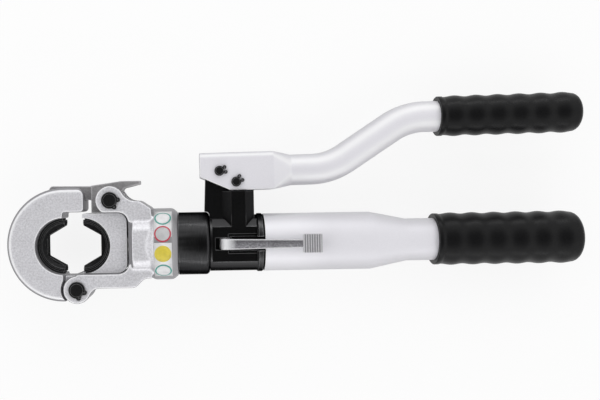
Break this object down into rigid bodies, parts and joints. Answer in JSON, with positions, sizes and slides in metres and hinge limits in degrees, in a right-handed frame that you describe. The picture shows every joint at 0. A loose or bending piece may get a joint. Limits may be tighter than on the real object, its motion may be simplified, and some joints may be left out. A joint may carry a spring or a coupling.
{
  "type": "hydraulic crimping tool",
  "caption": "Two-handed hydraulic crimping tool: a hinged, latched hook head with hexagon dies, turned on a pump block with a tube handle, a bent pump lever and a release lever.",
  "frame": {"origin": "centre of the fixed die, on the crimp axis, mid-plane of the head", "axes": "+X along the ram axis from the hook to the grips, +Y to the pump handle, +Z along the crimp axis, to the side of the release lever"},
  "size_m": [0.445, 0.157, 0.0593],
  "materials": {
    "satin_steel": "bead-blasted, satin",
    "silver_paint": "semi-gloss silver paint",
    "black_body": "black oxide, semi-matt",
    "black_oxide": "black oxide, oiled",
    "bright_steel": "ground",
    "grip_rubber": "matt, moulded",
    "seal_rubber": "smooth",
    "bush_bronze": "turned",
    "spring_steel": "drawn wire",
    "backup_plastic": "smooth"
  },
  "bodies": {
    "pump": {"pump_block": "black_body", "main_tube": "silver_paint", "main_grip": "grip_rubber", "oil_bladder": "seal_rubber", "bladder_clip": "bright_steel", "suction_filter": "bush_bronze", "tube_seal": "seal_rubber", "tube_end_plug": "bright_steel", "suction_valve_ball": "bright_steel", "suction_valve_spring": "spring_steel", "suction_valve_cage": "bush_bronze", "delivery_valve_ball": "bright_steel", "delivery_valve_spring": "spring_steel", "delivery_valve_screw": "bright_steel", "relief_valve_ball": "bright_steel", "relief_valve_spring": "spring_steel", "relief_valve_screw": "bright_steel", "release_valve_bush": "bush_bronze", "release_valve_spring": "spring_steel", "plunger_gland": "bush_bronze", "plunger_seal": "seal_rubber", "pivot_bush": "bush_bronze", "release_lever_pin": "bright_steel", "swivel_ring": "spring_steel", "swivel_seal": "seal_rubber"},
    "head": {"head_fork": "satin_steel", "ram_cylinder": "black_body", "rod_bush": "bush_bronze", "hook_pin": "black_oxide", "latch_pin": "black_oxide", "head_retaining_rings": "black_oxide"},
    "hook": {"hook_jaw": "satin_steel", "hook_bush": "bush_bronze", "fixed_die": "black_oxide", "fixed_die_plunger": "bright_steel"},
    "latch": {"latch": "satin_steel", "latch_spring": "spring_steel"},
    "ram": {"piston": "bright_steel", "piston_seal": "seal_rubber", "piston_backup_ring": "backup_plastic", "return_spring": "spring_steel", "die_carrier": "satin_steel", "carrier_screw": "black_oxide", "moving_die": "black_oxide", "moving_die_plunger": "bright_steel"},
    "handle": {"pump_handle": "silver_paint", "handle_grip": "grip_rubber", "handle_pivot_pin": "black_oxide", "handle_drive_pin": "black_oxide", "handle_retaining_rings": "black_oxide"},
    "plunger": {"pump_plunger": "bright_steel"},
    "release": {"release_lever": "satin_steel"},
    "release_valve": {"release_valve_pin": "bright_steel", "release_valve_ball": "bright_steel"}
  },
  "joints": [
    {"name": "head_swivel", "type": "hinge", "parent": "pump", "child": "head", "pos_m": [0.109, 0, 0], "axis": [1, 0, 0], "range_deg": [-175, 175]},
    {"name": "hook_swing", "type": "hinge", "parent": "head", "child": "hook", "pos_m": [0.0102, -0.0332, 0], "axis": [0, 0, 1], "range_deg": [0, 90]},
    {"name": "latch_tilt", "type": "hinge", "parent": "head", "child": "latch", "pos_m": [0.0362, 0.0346, 0], "axis": [0, 0, 1], "range_deg": [-22, 0], "stiffness_Nm_per_rad": 0.15, "springref_deg": 34.38, "deforming": ["latch_spring"]},
    {"name": "ram_slide", "type": "slide", "parent": "head", "child": "ram", "axis": [-1, 0, 0], "range_m": [0, 0.0143], "stiffness_N_per_m": 2000, "springref_m": -0.02, "deforming": ["return_spring"]},
    {"name": "handle_swing", "type": "hinge", "parent": "pump", "child": "handle", "pos_m": [0.1202, 0.0557, 0], "axis": [0, 0, 1], "range_deg": [0, 60]},
    {"name": "plunger_slide", "type": "slide", "parent": "pump", "child": "plunger", "axis": [0, 1, 0], "range_m": [0, 0.0154]},
    {"name": "release_tilt", "type": "hinge", "parent": "pump", "child": "release", "pos_m": [0.1236, 0, 0.012], "axis": [0, 1, 0], "range_deg": [0, 3.5], "stiffness_Nm_per_rad": 0.6, "springref_deg": -4.58},
    {"name": "release_valve_slide", "type": "slide", "parent": "pump", "child": "release_valve", "axis": [0, 0, -1], "range_m": [0, 0.00065], "deforming": ["release_valve_spring"]}
  ],
  "couplings": [
    {"joint": "plunger_slide", "follows": "handle_swing", "m_per_rad": 0.01454},
    {"joint": "release_valve_slide", "follows": "release_tilt", "m_per_rad": 0.01}
  ]
}
